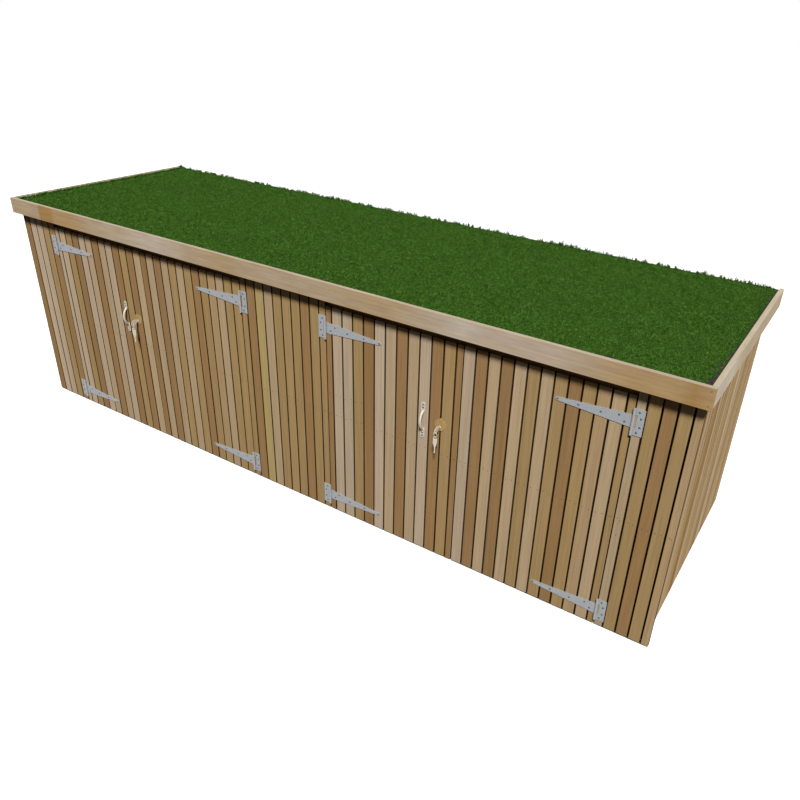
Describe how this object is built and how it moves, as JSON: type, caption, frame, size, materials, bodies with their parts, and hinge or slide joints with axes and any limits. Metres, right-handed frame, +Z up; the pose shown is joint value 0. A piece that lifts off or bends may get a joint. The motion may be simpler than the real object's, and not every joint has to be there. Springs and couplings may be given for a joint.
{
  "type": "bike shed",
  "caption": "Low timber bike store clad in upright battens, with paired side-hinged doors that lock and a planted roof tray falling to the rear.",
  "frame": {"origin": "on the ground, under the middle of the roof's outline", "axes": "+X along the front to the right as seen from the front, +Y to the rear, +Z up"},
  "size_m": [3.867, 1.2545, 1.236],
  "materials": {
    "cladding": "matte",
    "framing": "matte",
    "plywood": "matte",
    "fascia": "matte",
    "membrane": "matte",
    "substrate": "matte",
    "turf": "matte",
    "galvanised": "satin",
    "handle": "satin",
    "lock": "satin",
    "key": "satin"
  },
  "bodies": {
    "carcass": {"base_frame": "framing", "floor_panels": "plywood", "wall_posts": "framing", "wall_rails": "framing", "head_rails": "framing", "partition_panel": "plywood", "front_battens": "cladding", "side_battens": "cladding", "rear_battens": "cladding", "roof_joists": "framing", "roof_deck": "plywood", "roof_membrane": "membrane", "growing_substrate": "substrate", "turf_mat": "turf", "rear_retaining_angle": "galvanised", "front_fascia": "fascia", "left_fascia": "fascia", "right_fascia": "fascia", "hinge_flaps": "galvanised", "hinge_pins": "galvanised", "flap_screws": "galvanised"},
    "left_lock_door": {"left_lock_door_battens": "cladding", "left_lock_door_ledges": "framing", "left_lock_door_hinge_straps": "galvanised", "left_lock_door_screws": "galvanised", "left_pull_handle": "handle", "left_lock_disc": "cladding", "left_rim_lock": "lock"},
    "left_bolt_door": {"left_bolt_door_battens": "cladding", "left_bolt_door_ledges": "framing", "left_bolt_door_hinge_straps": "galvanised", "left_bolt_door_screws": "galvanised", "left_lock_keep": "lock", "left_bolt_plates": "galvanised"},
    "left_key_in_lock": {"left_key": "key"},
    "left_key_bunch": {"left_key_ring": "key", "left_spare_key": "key"},
    "left_deadbolt_bar": {"left_deadbolt": "lock"},
    "left_top_bolt_rod": {"left_top_bolt": "galvanised"},
    "left_bottom_bolt_rod": {"left_bottom_bolt": "galvanised"},
    "right_lock_door": {"right_lock_door_battens": "cladding", "right_lock_door_ledges": "framing", "right_lock_door_hinge_straps": "galvanised", "right_lock_door_screws": "galvanised", "right_pull_handle": "handle", "right_lock_disc": "cladding", "right_rim_lock": "lock"},
    "right_bolt_door": {"right_bolt_door_battens": "cladding", "right_bolt_door_ledges": "framing", "right_bolt_door_hinge_straps": "galvanised", "right_bolt_door_screws": "galvanised", "right_lock_keep": "lock", "right_bolt_plates": "galvanised"},
    "right_key_in_lock": {"right_key": "key"},
    "right_key_bunch": {"right_key_ring": "key", "right_spare_key": "key"},
    "right_deadbolt_bar": {"right_deadbolt": "lock"},
    "right_top_bolt_rod": {"right_top_bolt": "galvanised"},
    "right_bottom_bolt_rod": {"right_bottom_bolt": "galvanised"}
  },
  "joints": [
    {"name": "left_lock_door_hinge", "type": "hinge", "parent": "carcass", "child": "left_lock_door", "pos_m": [-1.634, -0.58725, 0.549], "axis": [0, 0, -1], "range_deg": [0, 165]},
    {"name": "left_key_turn", "type": "hinge", "parent": "left_lock_door", "child": "left_key_in_lock", "pos_m": [-1.0255, -0.58125, 0.703], "axis": [0, -1, 0], "range_deg": [0, 90]},
    {"name": "left_key_bunch_swing", "type": "hinge", "parent": "left_key_in_lock", "child": "left_key_bunch", "pos_m": [-1.0255, -0.62031, 0.69577], "axis": [-1, 0, 0], "range_deg": [-10, 75]},
    {"name": "left_deadbolt_slide", "type": "slide", "parent": "left_lock_door", "child": "left_deadbolt_bar", "axis": [1, 0, 0], "range_m": [0, 0.021]},
    {"name": "left_bolt_door_hinge", "type": "hinge", "parent": "carcass", "child": "left_bolt_door", "pos_m": [-0.234, -0.58725, 0.549], "axis": [0, 0, 1], "range_deg": [0, 105]},
    {"name": "left_top_bolt_slide", "type": "slide", "parent": "left_bolt_door", "child": "left_top_bolt_rod", "axis": [0, 0, 1], "range_m": [0, 0.02]},
    {"name": "left_bottom_bolt_slide", "type": "slide", "parent": "left_bolt_door", "child": "left_bottom_bolt_rod", "axis": [0, 0, -1], "range_m": [0, 0.02]},
    {"name": "right_lock_door_hinge", "type": "hinge", "parent": "carcass", "child": "right_lock_door", "pos_m": [0.28, -0.58725, 0.549], "axis": [0, 0, -1], "range_deg": [0, 105]},
    {"name": "right_key_turn", "type": "hinge", "parent": "right_lock_door", "child": "right_key_in_lock", "pos_m": [0.8885, -0.58125, 0.703], "axis": [0, -1, 0], "range_deg": [0, 90]},
    {"name": "right_key_bunch_swing", "type": "hinge", "parent": "right_key_in_lock", "child": "right_key_bunch", "pos_m": [0.8885, -0.62031, 0.69577], "axis": [-1, 0, 0], "range_deg": [-10, 75]},
    {"name": "right_deadbolt_slide", "type": "slide", "parent": "right_lock_door", "child": "right_deadbolt_bar", "axis": [1, 0, 0], "range_m": [0, 0.021]},
    {"name": "right_bolt_door_hinge", "type": "hinge", "parent": "carcass", "child": "right_bolt_door", "pos_m": [1.68, -0.58725, 0.549], "axis": [0, 0, 1], "range_deg": [0, 165]},
    {"name": "right_top_bolt_slide", "type": "slide", "parent": "right_bolt_door", "child": "right_top_bolt_rod", "axis": [0, 0, 1], "range_m": [0, 0.02]},
    {"name": "right_bottom_bolt_slide", "type": "slide", "parent": "right_bolt_door", "child": "right_bottom_bolt_rod", "axis": [0, 0, -1], "range_m": [0, 0.02]}
  ],
  "couplings": [
    {"joint": "left_deadbolt_slide", "follows": "left_key_turn", "m_per_rad": 0.01336},
    {"joint": "right_deadbolt_slide", "follows": "right_key_turn", "m_per_rad": 0.01336}
  ]
}
